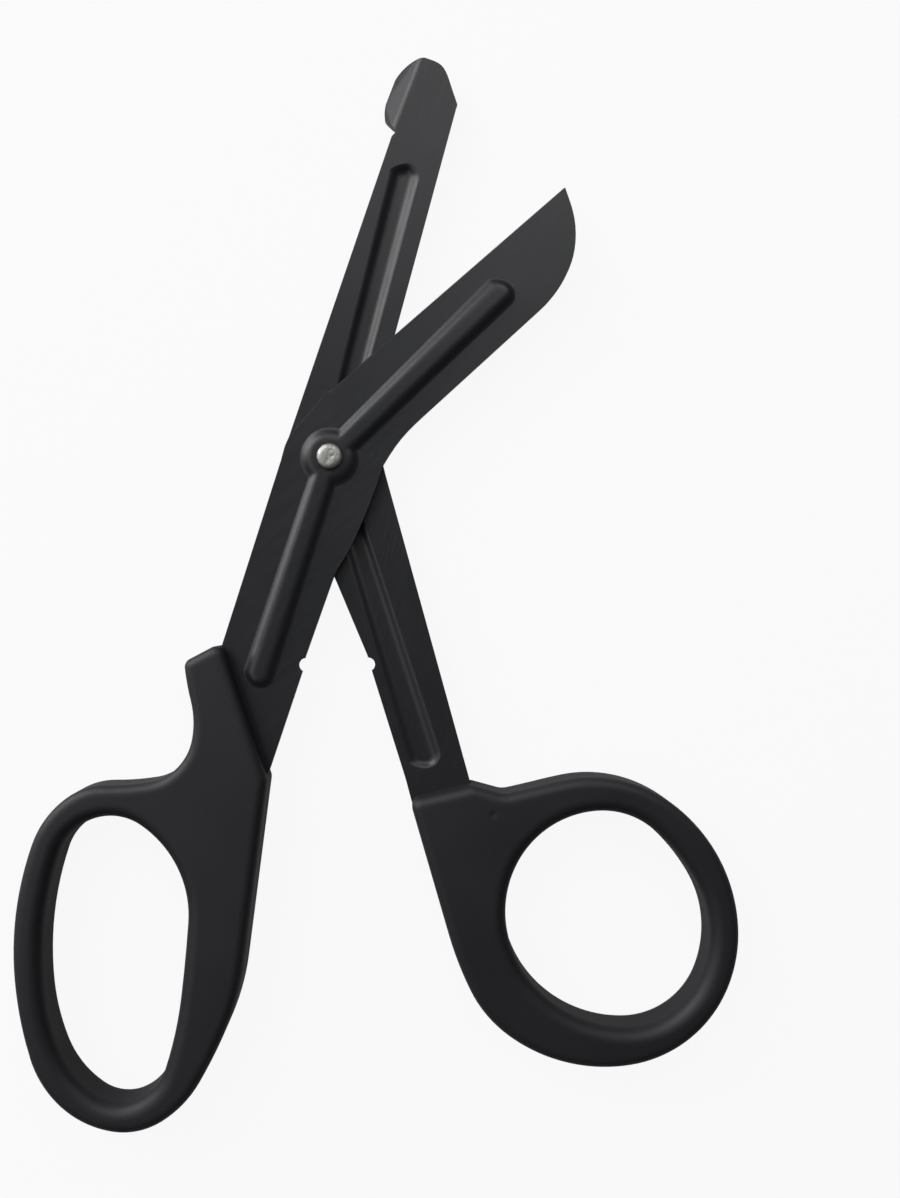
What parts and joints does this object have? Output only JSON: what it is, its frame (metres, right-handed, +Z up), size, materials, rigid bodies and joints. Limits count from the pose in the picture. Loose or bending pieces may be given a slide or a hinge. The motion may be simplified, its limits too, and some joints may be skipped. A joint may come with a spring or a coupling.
{
  "type": "bandage scissors",
  "caption": "Open trauma shears: a ribbed cutting blade and a blunt-shoed probe blade turn on a steel rivet, with moulded oval finger and thumb bows.",
  "frame": {"origin": "middle of the footprint, on the surface that the scissors lie on", "axes": "+Z up, out of the surface, through the rivet; +Y from the bows towards the blade tips; +X to the right, towards the thumb bow, seen from above"},
  "size_m": [0.1232, 0.1844, 0.009],
  "materials": {
    "black_coated_steel": "stamped stainless sheet with a thin satin black coating",
    "black_polypropylene": "injection moulded, fine matte texture",
    "rivet_steel": "bare steel, peened head"
  },
  "bodies": {
    "thumb_half": {"probe_blade": "black_coated_steel", "thumb_bow": "black_polypropylene", "pivot_rivet": "rivet_steel"},
    "finger_half": {"cutting_blade": "black_coated_steel", "finger_bow": "black_polypropylene"}
  },
  "joints": [
    {"name": "pivot", "type": "hinge", "parent": "thumb_half", "child": "finger_half", "pos_m": [-0.00796, 0.02282, 0.0045], "axis": [0, 0, 1], "range_deg": [-112, 23.5]}
  ]
}
